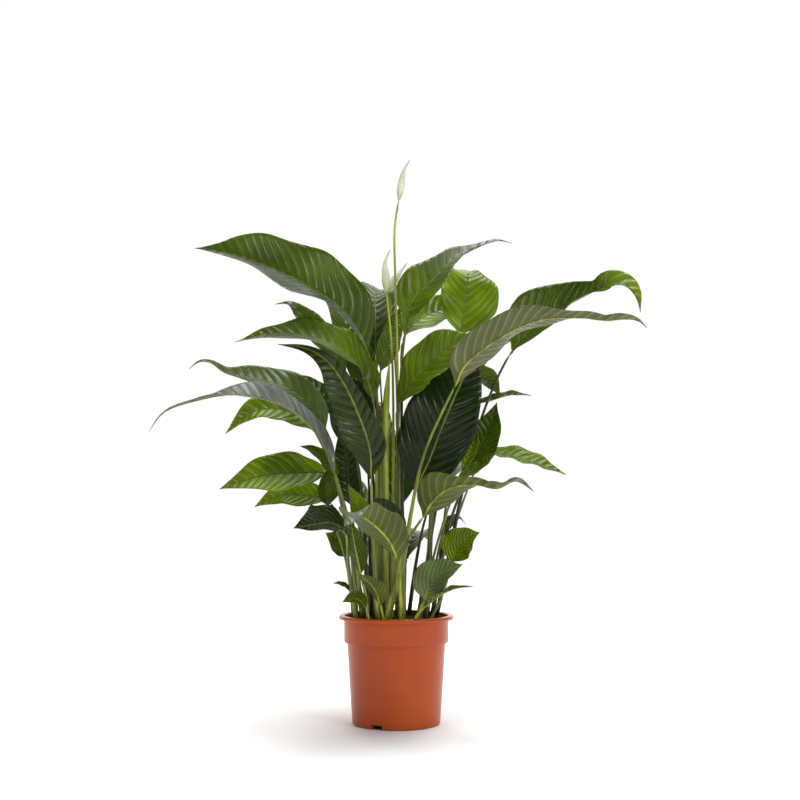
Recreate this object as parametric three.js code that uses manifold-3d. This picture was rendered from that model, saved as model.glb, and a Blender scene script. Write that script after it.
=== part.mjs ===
// Potted peace lily: a nursery pot, potting soil, leaves on stalks and three flower stalks.
// Millimetres, +Z up, pot standing on z = 0, viewer on the -Y side.
import * as THREE from 'three';
import { mergeVertices } from 'three/addons/utils/BufferGeometryUtils.js';
import Module from 'manifold-3d';

// ---- driving dimensions ----
const POT_HEIGHT = 195;
const POT_SIDES = 48;
const BASE_RADIUS = 79.5;
const BODY_TOP_RADIUS = 89.5;
const COLLAR_RADIUS = 95;
const LIP_RADIUS = 105;
const STEP_HEIGHT = 147;
const LIP_DEPTH = 6.5;
const WALL = 1.5;
const FLOOR_TOP = 5.8;
const FOOT_WIDTH = 9;
const SLOT_COUNT = 3;
const SLOT_WIDTH = 22;
const SLOT_HEIGHT = 9;
const SLOT_ANGLE = 244.5;
const GAP = 0.3;
const SOIL_TOP = 185;
const BLADE_THICKNESS = 1.4;
const STALK_BASE_RADIUS = 4.2;
const STALK_NECK_RADIUS = 2.2;

// ---- materials ----
const plastic = new THREE.MeshStandardMaterial({ color: 0xb35a30, roughness: 0.35, metalness: 0 });
const earth = new THREE.MeshStandardMaterial({ color: 0x2a1d15, roughness: 0.95, metalness: 0 });
const green = new THREE.MeshStandardMaterial({ color: 0x3f6a1f, roughness: 0.35, metalness: 0 });
const stalkGreen = new THREE.MeshStandardMaterial({ color: 0x8fa84a, roughness: 0.5, metalness: 0 });
const petalWhite = new THREE.MeshStandardMaterial({ color: 0xe6e8d2, roughness: 0.5, metalness: 0 });

const wasm = await Module();
wasm.setup();

function toSolid(geometry) {
  const bare = geometry.clone();
  bare.deleteAttribute('normal');
  bare.deleteAttribute('uv');
  const merged = mergeVertices(bare, 1e-4);
  return new wasm.Manifold(new wasm.Mesh({
    numProp: 3,
    vertProperties: new Float32Array(merged.attributes.position.array),
    triVerts: new Uint32Array(merged.index.array),
  }));
}

function fromSolid(solid) {
  const mesh = solid.getMesh();
  const geometry = new THREE.BufferGeometry();
  geometry.setAttribute('position', new THREE.BufferAttribute(mesh.vertProperties, 3));
  geometry.setIndex(new THREE.BufferAttribute(mesh.triVerts, 1));
  geometry.computeVertexNormals();
  return geometry;
}

// A turned body: the (radius, height) profile starts and ends on the vertical axis.
function turned(profile, sides) {
  const points = profile.map(([r, z]) => new THREE.Vector2(r, z));
  const geometry = new THREE.LatheGeometry(points, sides);
  geometry.rotateX(Math.PI / 2);
  return geometry;
}

// ---- pot ----
function makePot() {
  const lipUnder = POT_HEIGHT - LIP_DEPTH;
  const profile = [
    [0, FLOOR_TOP - WALL],
    [BASE_RADIUS - FOOT_WIDTH - 2, FLOOR_TOP - WALL],
    [BASE_RADIUS - FOOT_WIDTH, 0],
    [BASE_RADIUS - 2, 0],
    [BASE_RADIUS, 2.5],
    [BODY_TOP_RADIUS, STEP_HEIGHT],
    [COLLAR_RADIUS, STEP_HEIGHT + 1.5],
    [COLLAR_RADIUS + 0.6, lipUnder],
    [LIP_RADIUS - 0.5, lipUnder],
    [LIP_RADIUS, POT_HEIGHT - 3],
    [LIP_RADIUS - 2.5, POT_HEIGHT],
    [COLLAR_RADIUS + 2, POT_HEIGHT],
    [COLLAR_RADIUS - 0.9, POT_HEIGHT - 3],
    [COLLAR_RADIUS - WALL, STEP_HEIGHT + 3],
    [BODY_TOP_RADIUS - WALL, STEP_HEIGHT + 1],
    [BASE_RADIUS - WALL, FLOOR_TOP],
    [0, FLOOR_TOP],
  ];
  let solid = toSolid(turned(profile, POT_SIDES));
  for (let i = 0; i < SLOT_COUNT; i++) {
    const angle = THREE.MathUtils.degToRad(SLOT_ANGLE + (360 / SLOT_COUNT) * i);
    const cutter = new THREE.BoxGeometry(36, SLOT_WIDTH, 2 * SLOT_HEIGHT);
    cutter.translate(BASE_RADIUS + 4, 0, 0);
    cutter.rotateZ(angle);
    solid = solid.subtract(toSolid(cutter));
  }
  return fromSolid(solid);
}

// ---- soil: fills the pot to just below the rim ----
function makeSoil() {
  const bodyRadius = BODY_TOP_RADIUS - WALL - GAP;
  const collarRadius = COLLAR_RADIUS - WALL - GAP;
  return turned([
    [0, FLOOR_TOP + GAP],
    [BASE_RADIUS - WALL - GAP, FLOOR_TOP + GAP],
    [bodyRadius, STEP_HEIGHT + 1.6],
    [collarRadius, STEP_HEIGHT + 3.6],
    [collarRadius, SOIL_TOP],
    [0, SOIL_TOP],
  ], 32);
}

// ---- lofts: a closed skin through rings of eight points ----
const RING = 8;

function loft(rings) {
  const positions = rings.flat().flatMap((p) => [p.x, p.y, p.z]);
  const faces = [];
  for (let k = 0; k + 1 < rings.length; k++) {
    for (let i = 0; i < RING; i++) {
      const a = k * RING + i;
      const b = k * RING + ((i + 1) % RING);
      if (i < RING / 2) {
        faces.push(a, b, b + RING, a, b + RING, a + RING);
      } else {
        faces.push(a, b, a + RING, b, b + RING, a + RING);
      }
    }
  }
  const last = (rings.length - 1) * RING;
  for (let i = 1; i + 1 < RING; i++) {
    faces.push(0, i + 1, i, last, last + i, last + i + 1);
  }
  const geometry = new THREE.BufferGeometry();
  geometry.setAttribute('position', new THREE.Float32BufferAttribute(positions, 3));
  geometry.setIndex(faces);
  geometry.computeVertexNormals();
  return geometry;
}

const vec = (p) => new THREE.Vector3(p[0], p[1], p[2]);
const curveThrough = (points) => new THREE.CatmullRomCurve3(points.map(vec), false, 'centripetal');

// Directions across and out of a blade whose rib runs along `along` and whose upper side looks to `face`.
function bladeFrame(along, face) {
  const out = face.clone().addScaledVector(along, -face.dot(along)).normalize();
  const across = new THREE.Vector3().crossVectors(out, along);
  return { across, out };
}

function roundRing(centre, frame, radius) {
  return Array.from({ length: RING }, (_, i) => {
    const turn = (2 * Math.PI * i) / RING;
    return centre.clone()
      .addScaledVector(frame.across, radius * Math.cos(turn))
      .addScaledVector(frame.out, radius * Math.sin(turn));
  });
}

// Blade section: edges raised by the fold, thickest over the middle rib.
const ACROSS = [1, 0.55, 0, -0.55, -1, -0.55, 0, 0.55];
const LAYER = [0, 0.5, 0.5, 0.5, 0, -0.5, -1.1, -0.5];

function bladeRing(centre, frame, halves, thickness, fold) {
  const rise = Math.sin(THREE.MathUtils.degToRad(fold));
  const spread = Math.cos(THREE.MathUtils.degToRad(fold));
  return ACROSS.map((a, i) => {
    const half = a > 0 ? halves[0] : halves[1];
    return centre.clone()
      .addScaledVector(frame.across, half * spread * a)
      .addScaledVector(frame.out, half * rise * Math.abs(a) ** 1.3 + thickness * LAYER[i]);
  });
}

// Share of the full half width along the blade, from the neck (0) to the drip tip (1).
const OUTLINE = [0.06, 0.6, 0.87, 0.98, 1, 0.95, 0.83, 0.65, 0.42, 0.18, 0.02];

// Numbers listed from neck to tip, blended evenly along the blade.
function gradedAt(values, t) {
  const place = Math.min(t, 0.9999) * (values.length - 1);
  const k = Math.floor(place);
  return THREE.MathUtils.lerp(values[k], values[Math.min(k + 1, values.length - 1)], place - k);
}

// Directions listed from neck to tip, blended evenly along the blade.
function blendOf(directions) {
  const list = directions.map((d) => vec(d).normalize());
  return (t) => {
    const place = Math.min(t, 0.9999) * (list.length - 1);
    const k = Math.floor(place);
    return list[k].clone().lerp(list[Math.min(k + 1, list.length - 1)], place - k);
  };
}

// One leaf: a round stalk from the soil (root, then stem) running on into the blade along rib.
function makeLeaf(leaf) {
  const root = [leaf.root[0], leaf.root[1], SOIL_TOP + GAP];
  const stalk = curveThrough([root, ...leaf.stem, leaf.rib[0]]);
  const rib = curveThrough(leaf.rib);
  const small = leaf.width < 70;
  const stalkSteps = small ? 3 : 5;
  const bladeSteps = small ? 9 : 18;
  const faceAt = blendOf(leaf.faces);
  const scale = small ? 0.7 : 1;
  const rings = [];
  const upright = new THREE.Vector3(0, 0, 1);
  for (let k = 0; k < stalkSteps; k++) {
    const t = k / stalkSteps;
    const along = k === 0 ? upright : stalk.getTangentAt(t);
    const radius = scale * THREE.MathUtils.lerp(STALK_BASE_RADIUS, STALK_NECK_RADIUS, t);
    rings.push(roundRing(stalk.getPointAt(t), bladeFrame(along, faceAt(0)), radius));
  }
  for (let k = 0; k <= bladeSteps; k++) {
    const t = k / bladeSteps;
    const tangent = rib.getTangentAt(t);
    const frame = bladeFrame(tangent, faceAt(t));
    const half = 0.5 * leaf.width * gradedAt(OUTLINE, t);
    const halves = [leaf.plus, leaf.minus].map((share) => Math.max(half * gradedAt(share ?? [1], t), 0.8));
    const thickness = BLADE_THICKNESS * (k === 0 ? 2.2 : 1 - 0.5 * t);
    rings.push(bladeRing(rib.getPointAt(t), frame, halves, thickness, leaf.fold ?? 18));
  }
  return loft(rings);
}

// The leaves, one row each: root on the soil, way points of the stalk, the rib from neck to
// drip tip, full width, the share of it on either side of the rib (plus, minus), the ways the
// upper side looks, and the fold of the two halves in degrees; lists run from neck to tip.
const LEAVES = [
  { name: 'leaf_upper_left', root: [-28, -18], stem: [[-31, -22, 530]], rib: [[-54, -25, 679],
    [-97, -40, 747], [-151, -60, 784], [-209, -75, 812], [-280, -90, 837], [-324, -97, 846],
    [-359, -100, 851]], width: 134, plus: [0.3, 0.25, 0.45, 0.9, 0.95, 0.6, 0.4],
    minus: [1, 1, 1.05, 1, 1.15, 1.35, 1], faces: [[0.1, -0.85, 0.55]], fold: 30 },
  { name: 'leaf_upper_left_inner', root: [-34, 12], stem: [[-34, 15, 530]], rib: [[-40, 50, 685],
    [-40, 80, 750], [-42, 125, 800], [-33, 180, 823], [-14, 240, 800]], width: 85,
    faces: [[0.1, -0.6, 0.8]] },
  { name: 'leaf_heart_small', root: [-22, 8], stem: [[-24, 12, 530]], rib: [[-29, 24, 643],
    [-18, 30, 695], [-5, 34, 735], [9, 36, 769]], width: 52, faces: [[0.6, -0.7, 0.2]] },
  { name: 'leaf_top_right', root: [3, -8], stem: [[5, -5, 585]], rib: [[20, -10, 733], [31, -24, 770],
    [62, -20, 802], [96, -8, 840], [134, 10, 866], [190, 30, 891], [219, 38, 888]], width: 100,
    plus: [1, 1.1, 0.95, 0.6, 0.5, 0.6, 0.6], minus: [1, 1.1, 0.8, 0.35, 0.35, 0.4, 0.5],
    faces: [[-0.3, -0.9, 0.3], [-0.2, -0.8, 0.5], [0, -0.35, 0.9], [0, -0.3, 0.95]], fold: 22 },
  { name: 'leaf_behind_heart', root: [14, 16], stem: [[10, 20, 590]], rib: [[16, 45, 714],
    [54, 75, 753], [97, 108, 775], [147, 135, 794]], width: 85, faces: [[-0.2, -0.9, 0.4]] },
  { name: 'leaf_bright_upright', root: [52, 22], stem: [[81, 30, 554]], rib: [[122, 60, 717],
    [128, 62, 753], [134, 70, 794], [138, 90, 835], [139, 150, 857]], width: 114,
    plus: [0.9, 0.85, 0.9, 1.05, 1.2], minus: [1.05, 1.15, 1.05, 0.7, 0.5],
    faces: [[0.05, -0.95, 0.3]], fold: 10 },
  { name: 'leaf_arched_centre', root: [6, -34], stem: [[4, -42, 495]], rib: [[3, -60, 573],
    [35, -90, 619], [70, -105, 653], [109, -108, 680], [154, -95, 694]], width: 105,
    plus: [0.6, 0.75, 0.95, 1.1, 1], minus: [0.6, 0.7, 0.9, 1, 1], faces: [[-0.3, -0.8, 0.5]],
    fold: 15 },
  { name: 'leaf_right_long', root: [-18, -50], stem: [[10, -66, 285], [47, -90, 476]],
    rib: [[104, -135, 605], [117, -150, 634], [152, -160, 665], [189, -166, 688], [230, -170, 707],
    [268, -174, 715], [325, -180, 714], [356, -180, 710], [387, -180, 712], [414, -180, 709],
    [429, -180, 697]], width: 122, plus: [1, 1, 0.95, 0.8, 0.68, 0.6, 0.52, 0.48, 0.4, 1.6, 2.2],
    minus: [1, 1, 0.95, 0.8, 0.68, 0.6, 0.52, 0.48, 0.4, 1.6, 2.2], faces: [[0.1, 0.45, 0.9],
    [0.1, 0.35, 0.95], [0, 0, 1]], fold: 15 },
  { name: 'leaf_right_upper', root: [72, 30], stem: [[156, 40, 545]], rib: [[219, 55, 684],
    [252, 60, 719], [288, 55, 748], [319, 45, 769], [352, 25, 785], [379, 5, 797], [402, -5, 804],
    [424, -15, 799], [441, -22, 777], [448, -30, 746]], width: 108,
    plus: [1.2, 1.6, 1.4, 1.1, 0.8, 0.35, 0.9, 1.2, 0.9],
    minus: [1, 0.9, 0.8, 0.7, 0.5, 0.3, 1, 0.9, 0.6], faces: [[-0.1, -0.75, 0.65], [-0.1, -0.7, 0.7],
    [0.6, -0.7, 0.4]], fold: 26 },
  { name: 'leaf_right_pale', root: [58, 44], stem: [[82, 52, 537]], rib: [[112, 72, 630],
    [145, 80, 639], [177, 90, 630], [200, 95, 603]], width: 60, faces: [[0, 0.5, 0.8]] },
  { name: 'leaf_right_narrow', root: [68, 52], stem: [[112, 72, 498]], rib: [[146, 85, 582],
    [180, 80, 593], [217, 65, 602], [256, 55, 600]], width: 34, faces: [[0, -0.4, 0.9]] },
  { name: 'leaf_centre_dark', root: [12, -48], stem: [[16, -45, 316]], rib: [[35, -55, 418],
    [60, -70, 476], [84, -82, 538], [109, -82, 596], [132, -70, 644], [151, -50, 675]], width: 146,
    minus: [0.85, 0.8, 0.85, 0.9, 1], faces: [[-0.2, -0.95, 0.1]], fold: 8 },
  { name: 'leaf_right_upright', root: [64, 18], stem: [[90, 20, 331]], rib: [[132, 15, 450],
    [152, 8, 492], [170, 5, 529], [186, 5, 583]], width: 74, faces: [[-0.4, -0.85, 0.2]] },
  { name: 'leaf_strip_young', root: [40, -18], stem: [[76, -36, 333]], rib: [[119, -44, 454],
    [134, -48, 487], [142, -48, 514], [141, -44, 543]], width: 26, faces: [[-0.6, -0.8, 0.1]] },
  { name: 'leaf_right_curl', root: [52, 2], stem: [[82, -4, 332]], rib: [[113, -16, 438],
    [138, -24, 453], [160, -30, 467], [175, -34, 489]], width: 40, faces: [[0, -0.5, 0.85]] },
  { name: 'leaf_right_low_bright', root: [46, 54], stem: [[101, 70, 330]], rib: [[169, 45, 487],
    [202, 35, 487], [244, 25, 476], [283, 15, 462], [314, 10, 449]], width: 56,
    faces: [[0.1, -0.5, 0.85]] },
  { name: 'leaf_front_right', root: [-22, -66], stem: [[-4, -80, 250], [15, -95, 322]],
    rib: [[48, -125, 376], [63, -150, 402], [91, -180, 424], [131, -205, 430], [169, -222, 423],
    [198, -232, 435], [227, -240, 418]], width: 90, plus: [1, 1, 1, 0.8, 0.9, 1.3, 1],
    minus: [1, 1, 0.9, 0.6, 0.6, 0.8, 1], faces: [[0.2, 0.7, 0.6], [0, -0.3, 0.9]] },
  { name: 'leaf_low_right_oval', root: [60, 6], stem: [[89, 15, 241]], rib: [[102, 10, 290],
    [113, 5, 316], [131, 0, 334], [152, -5, 344]], width: 66, faces: [[-0.3, -0.9, 0.3]] },
  { name: 'leaf_low_right_broad', root: [36, -66], stem: [[40, -75, 205]], rib: [[50, -85, 228],
    [60, -100, 257], [84, -112, 278], [115, -120, 292]], width: 72, faces: [[-0.1, -0.8, 0.6]] },
  { name: 'leaf_low_right_thin', root: [24, -78], stem: [[38, -98, 205]], rib: [[52, -121, 221],
    [70, -143, 238], [97, -160, 253], [130, -168, 258]], width: 26, faces: [[0, -0.3, 0.95]] },
  { name: 'leaf_right_hook', root: [38, 62], stem: [[82, 90, 292]], rib: [[91, 110, 338],
    [107, 130, 364], [121, 140, 368], [135, 150, 356]], width: 26, faces: [[0, -0.5, 0.9]] },
  { name: 'leaf_left_behind', root: [-48, 36], stem: [[-59, 40, 517]], rib: [[-98, 70, 647],
    [-137, 85, 701], [-177, 95, 751], [-206, 100, 781], [-236, 105, 782]], width: 65,
    faces: [[0.2, -0.6, 0.75]] },
  { name: 'leaf_left_middle', root: [-36, -36], stem: [[-36, -45, 459]], rib: [[-42, -55, 585],
    [-58, -66, 629], [-89, -93, 665], [-150, -110, 690], [-219, -130, 693], [-280, -145, 677]],
    width: 98, plus: [1, 1, 1.15, 1.3, 1.1, 1], minus: [1, 1, 1, 0.95, 0.8, 0.6],
    faces: [[0.1, -0.6, 0.8]], fold: 20 },
  { name: 'leaf_front_hanging', root: [-32, -58], stem: [[-42, -88, 353]], rib: [[-44, -100, 440],
    [-46, -112, 492], [-68, -122, 558], [-95, -127, 612], [-121, -130, 645], [-154, -130, 665],
    [-207, -130, 675]], width: 92, plus: [1, 1, 0.9, 0.8, 0.5, 0.5],
    minus: [1, 1, 0.62, 0.42, 0.4, 0.45, 0.5], faces: [[-0.3, -0.85, 0.35]] },
  { name: 'leaf_centre_shadow', root: [-52, 12], stem: [[-63, 15, 405]], rib: [[-74, 15, 488],
    [-75, 18, 543], [-84, 25, 594], [-114, 45, 645]], width: 95, faces: [[0, -0.95, 0.3]], fold: 8 },
  { name: 'leaf_left_inner', root: [-41, 58], stem: [[-64, 52, 330]], rib: [[-83, 44, 393],
    [-91, 42, 440], [-98, 42, 487], [-108, 46, 534]], width: 54, faces: [[0, -1, 0.1]] },
  { name: 'leaf_left_arching', root: [-56, -22], stem: [[-101, -35, 405]], rib: [[-129, -45, 527],
    [-152, -52, 572], [-195, -57, 604], [-249, -59, 620], [-303, -64, 633], [-331, -70, 650],
    [-352, -74, 651], [-371, -76, 637]], width: 84, plus: [1, 1, 1, 1, 0.9, 0.4, 0.3],
    minus: [1, 1, 0.9, 0.9, 0.6, 0.35, 0.3], faces: [[0.1, -0.6, 0.8]] },
  { name: 'leaf_left_shadow', root: [-62, 20], stem: [[-85, 20, 405]], rib: [[-101, 30, 535],
    [-128, 40, 586], [-161, 50, 621], [-201, 60, 643]], width: 50, faces: [[0.2, -0.5, 0.8]] },
  { name: 'leaf_left_longest', root: [-58, -40], stem: [[-78, -65, 335]], rib: [[-110, -80, 454],
    [-134, -103, 514], [-180, -124, 558], [-233, -134, 580], [-286, -134, 587], [-341, -124, 579],
    [-410, -98, 558], [-440, -80, 525]], width: 76, plus: [1, 1, 1.1, 1, 0.55, 0.45, 0.6],
    minus: [1, 1, 1, 1.1, 0.6, 0.45, 0.6], faces: [[0, -0.5, 0.9], [0, -0.25, 0.97]] },
  { name: 'leaf_left_bright', root: [-73, 13], stem: [[-94, 24, 369]], rib: [[-157, 30, 535],
    [-207, 30, 570], [-268, 25, 567], [-318, 20, 526]], width: 62, faces: [[-0.2, -0.8, 0.5]] },
  { name: 'leaf_left_low', root: [-62, 34], stem: [[-86, 38, 331]], rib: [[-128, 38, 449],
    [-178, 26, 453], [-232, 14, 451], [-277, 6, 440], [-325, -2, 423]], width: 80,
    plus: [1, 1, 1.3, 1.2, 1], faces: [[0, -0.85, 0.5]] },
  { name: 'leaf_left_lowest', root: [-54, 48], stem: [[-82, 45, 294]], rib: [[-128, 55, 401],
    [-172, 60, 411], [-219, 65, 412], [-268, 65, 390]], width: 60, faces: [[0, -0.85, 0.5]] },
  { name: 'leaf_left_small', root: [-70, -8], stem: [[-84, -10, 333]], rib: [[-110, -15, 441],
    [-128, -20, 470], [-151, -25, 492], [-176, -28, 501]], width: 40, faces: [[0.3, -0.6, 0.7]] },
  { name: 'leaf_left_upright', root: [-77, 2], stem: [[-93, 0, 296]], rib: [[-125, 0, 394],
    [-128, -3, 423], [-127, -5, 460]], width: 45, faces: [[0.5, -0.85, 0.1]] },
  { name: 'leaf_front_ribbed', root: [-70, -42], stem: [[-85, -50, 281]], rib: [[-90, -85, 347],
    [-112, -115, 363], [-139, -150, 362], [-174, -175, 356]], width: 80, faces: [[0, -0.75, 0.65]] },
  { name: 'leaf_low_left_bright', root: [-52, 62], stem: [[-62, 66, 242]], rib: [[-82, 68, 297],
    [-106, 72, 322], [-134, 74, 341]], width: 50, faces: [[0, -0.9, 0.4]] },
  { name: 'leaf_front_bowed', root: [8, -62], stem: [[7, -85, 245]], rib: [[3, -120, 298],
    [-12, -155, 335], [-41, -200, 366], [-70, -250, 383], [-82, -310, 362]], width: 85,
    faces: [[0.3, 0.8, 0.5]] },
  { name: 'leaf_front_shadow', root: [-12, -34], stem: [[-4, -45, 263]], rib: [[-4, -58, 320],
    [-13, -65, 361], [-28, -80, 391], [-51, -90, 406]], width: 60, faces: [[0, -0.9, 0.3]] },
  { name: 'leaf_front_upright', root: [-50, -56], stem: [[-53, -60, 229]], rib: [[-62, -75, 274],
    [-72, -85, 322], [-81, -90, 371]], width: 40, faces: [[0.5, 0.8, 0.1]] },
  { name: 'leaf_left_streaked', root: [-38, -20], stem: [[-40, -30, 280]], rib: [[-47, -36, 345],
    [-62, -42, 381], [-76, -46, 407], [-87, -48, 432]], width: 36, faces: [[0.2, -0.85, 0.5]] },
  { name: 'leaf_front_low', root: [-20, -74], stem: [], rib: [[-28, -85, 221], [-38, -115, 251],
    [-63, -140, 277]], width: 44, faces: [[0.4, 0.8, 0.4]] },
  { name: 'leaf_rim_left', root: [-46, -70], stem: [], rib: [[-54, -76, 214], [-70, -84, 230],
    [-95, -92, 225]], width: 30, faces: [[-0.1, -0.7, 0.7]] },
  { name: 'leaf_rim_left_tiny', root: [-70, -26], stem: [], rib: [[-83, -35, 241], [-99, -40, 252],
    [-113, -45, 255]], width: 16, faces: [[0, -0.5, 0.9]] },
  { name: 'leaf_back_left', root: [-30, 60], stem: [[-45, 90, 300]], rib: [[-60, 120, 380],
    [-110, 170, 440], [-165, 220, 460], [-235, 270, 430]], width: 90, faces: [[0, 0.2, 1]] },
  { name: 'leaf_back_right', root: [22, 64], stem: [[40, 90, 300]], rib: [[60, 120, 380],
    [100, 170, 450], [130, 220, 480], [160, 300, 470]], width: 95, faces: [[0, 0.1, 1]] },
  { name: 'leaf_back_centre_right', root: [12, 46], stem: [[15, 80, 320]], rib: [[1, 112, 380],
    [20, 150, 461], [55, 205, 542], [102, 295, 580]], width: 110, faces: [[-0.2, -0.3, 0.9]] },
  { name: 'leaf_back_centre_left', root: [-10, 58], stem: [[-15, 80, 320]], rib: [[-30, 105, 450],
    [-55, 150, 540], [-80, 220, 600], [-105, 310, 610]], width: 105, faces: [[0.2, -0.3, 0.9]] },
  { name: 'leaf_back_upper_left', root: [-26, 38], stem: [[-45, 70, 450]], rib: [[-62, 110, 600],
    [-90, 150, 725], [-130, 190, 800], [-170, 235, 845]], width: 90, faces: [[0.3, -0.5, 0.8]] },
  { name: 'leaf_back_upper_right', root: [40, 48], stem: [[78, 95, 400]], rib: [[115, 138, 560],
    [160, 175, 665], [225, 205, 720], [290, 240, 748]], width: 76, faces: [[-0.2, -0.3, 0.9]] },
  { name: 'leaf_back_low_left', root: [-42, 72], stem: [[-45, 90, 240]], rib: [[-50, 120, 300],
    [-75, 160, 340], [-100, 200, 345], [-130, 250, 320]], width: 70, faces: [[0, 0.3, 1]] },
  { name: 'leaf_back_low', root: [4, 78], stem: [[8, 95, 230]], rib: [[20, 130, 290], [35, 170, 330],
    [50, 215, 340], [65, 270, 320]], width: 72, faces: [[0, 0.3, 1]] },
];

// ---- flower stalks: a thin scape, the folded spathe at its top ----
function makeScape(path, baseRadius, topRadius, steps) {
  const curve = curveThrough(path);
  const face = new THREE.Vector3(0, -1, 0);
  const upright = new THREE.Vector3(0, 0, 1);
  return loft(Array.from({ length: steps + 1 }, (_, k) => {
    const t = k / steps;
    const along = k === 0 ? upright : curve.getTangentAt(t);
    const radius = THREE.MathUtils.lerp(baseRadius, topRadius, t);
    return roundRing(curve.getPointAt(t), bladeFrame(along, face), radius);
  }));
}

// A spindle: round sections whose radius follows `radii` along the path.
function makeSpindle(path, radii) {
  const curve = curveThrough(path);
  const face = new THREE.Vector3(0, -1, 0);
  return loft(radii.map((radius, k) => {
    const t = k / (radii.length - 1);
    return roundRing(curve.getPointAt(t), bladeFrame(curve.getTangentAt(t), face), radius);
  }));
}

const FLOWERS = [
  { name: 'bud',
    scape: [[4, -22, SOIL_TOP + GAP], [1, -28, 298], [2, -36, 641], [-2, -44, 808], [-3, -40, 902],
      [5, -38, 956]],
    spathe: [[5.1, -38, 957], [9, -37, 984], [14, -36, 1009], [25, -34, 1028]],
    radii: [2.4, 5.5, 6.4, 5.8, 3.8, 1.8, 0.9, 0.5] },
  { name: 'flower_left', scape: [[-8, 22, SOIL_TOP + GAP], [-6, 6, 599], [-10, -2, 702], [-19, 0, 790]],
    spathe: [[-19.2, 0.1, 791], [-20, 2, 815], [-21, 4, 845], [-12, 6, 868]],
    radii: [2.4, 6.5, 7.5, 6.5, 4.2, 2, 0.9, 0.5] },
  { name: 'flower_right', scape: [[0, 36, SOIL_TOP + GAP], [1, 44, 601], [-6, 46, 705], [-14, 50, 797]],
    spathe: [[-14, 50.1, 798], [-8, 52, 815], [5, 55, 833], [20, 60, 853]],
    radii: [2.2, 6.5, 8, 7, 4.5, 2, 0.9, 0.5] },
];

// ---- young leaf still rolled into an upright spear ----
const SPEAR_PATH = [
  [-16, -20, SOIL_TOP + GAP], [-20, -30, 405], [-21, -34, 496], [-18, -33, 587], [-12, -30, 660],
];
const SPEAR_RADII = [4.2, 4.2, 4.4, 5.2, 6.8, 7.4, 7.2, 5.4, 0.8];

// ---- assembly ----
const group = new THREE.Group();
group.name = 'potted_peace_lily';

function place(name, geometry, material) {
  const mesh = new THREE.Mesh(geometry, material.clone());
  mesh.name = name;
  group.add(mesh);
}

place('pot', makePot(), plastic);
place('soil', makeSoil(), earth);
for (const leaf of LEAVES) {
  place(leaf.name, makeLeaf(leaf), green);
}
place('leaf_spear_rolled', makeSpindle(SPEAR_PATH, SPEAR_RADII), stalkGreen);
for (const flower of FLOWERS) {
  place(`${flower.name}_scape`, makeScape(flower.scape, 3, 2, 6), stalkGreen);
  place(`${flower.name}_spathe`, makeSpindle(flower.spathe, flower.radii), petalWhite);
}

export default group;
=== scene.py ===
import math
import random

import bmesh
import bpy
from mathutils import Matrix, Vector, noise


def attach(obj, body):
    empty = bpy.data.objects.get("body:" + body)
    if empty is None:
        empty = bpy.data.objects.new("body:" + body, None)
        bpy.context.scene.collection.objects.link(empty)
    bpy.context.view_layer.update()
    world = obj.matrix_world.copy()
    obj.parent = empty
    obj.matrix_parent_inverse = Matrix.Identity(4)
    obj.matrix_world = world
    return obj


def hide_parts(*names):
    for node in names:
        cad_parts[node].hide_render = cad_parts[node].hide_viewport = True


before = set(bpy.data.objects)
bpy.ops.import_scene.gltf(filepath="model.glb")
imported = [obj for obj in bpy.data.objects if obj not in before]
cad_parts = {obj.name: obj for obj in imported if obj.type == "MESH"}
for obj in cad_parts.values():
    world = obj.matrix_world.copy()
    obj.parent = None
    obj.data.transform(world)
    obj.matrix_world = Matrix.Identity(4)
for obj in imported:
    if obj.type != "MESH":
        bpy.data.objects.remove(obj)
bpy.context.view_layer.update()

MM = 0.001

# the pot
POT_HEIGHT = 195
POT_SIDES = 96
BASE_RADIUS = 79.5
BODY_TOP_RADIUS = 89.5
COLLAR_RADIUS = 95
LIP_RADIUS = 105
STEP_HEIGHT = 147
WALL = 1.5
FLOOR_TOP = 5.8
FOOT_WIDTH = 11
TAPER_AT_SLOT = 0.55
SLOT_TOP = 9
SLOT_ANGLE = 244.5
SLOT_COUNT = 3
SLOT_STEPS = 4
SHARP_EDGE = 50

# the soil
SOIL_TOP = 185
SOIL_LIFT = 1.2
SOIL_GRID = 72
CRUMB_COUNT = 900
CRUMB_REACH = 91

# the leaves and stalks
ROOT_DEPTH = 6
BLADE_THICKNESS = 0.55
LONG_BLADE_WIDTH = 70
LONG_BLADE_GRID = (16, 44)
SHORT_BLADE_GRID = (12, 26)
SHORT_BLADE_GIRTH = 0.72
LEAST_HALF_WIDTH = 0.25
USUAL_FOLD = 18
EDGE_WAVE = 0.08
RIPPLE_TURN = 6.28  # radians
STALK_RADIUS = 5.0
NECK_RADIUS = 2.1
MIDRIB_SPAN = 0.97
MIDRIB_SINK = -0.75
VEIN_SPACING = 19
FEWEST_VEINS = 10

# the flower stalks
SCAPE_RADIUS = 3.0
SCAPE_TAPER = 1.1
SCAPE_TONE = 0.95
SPEAR_TONE = 1.1
SPATHE_GRID = (30, 40)
SPATHE_THICKNESS = 0.4
SPATHE_TURNS = 1.2
SPATHE_START = 0.9  # radians

# the map that the patterns of veins follow, and a leaf's three materials in their order
BLADE_MAP = "blade"
UPPER, UNDER, STALK = 0, 1, 2

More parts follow.
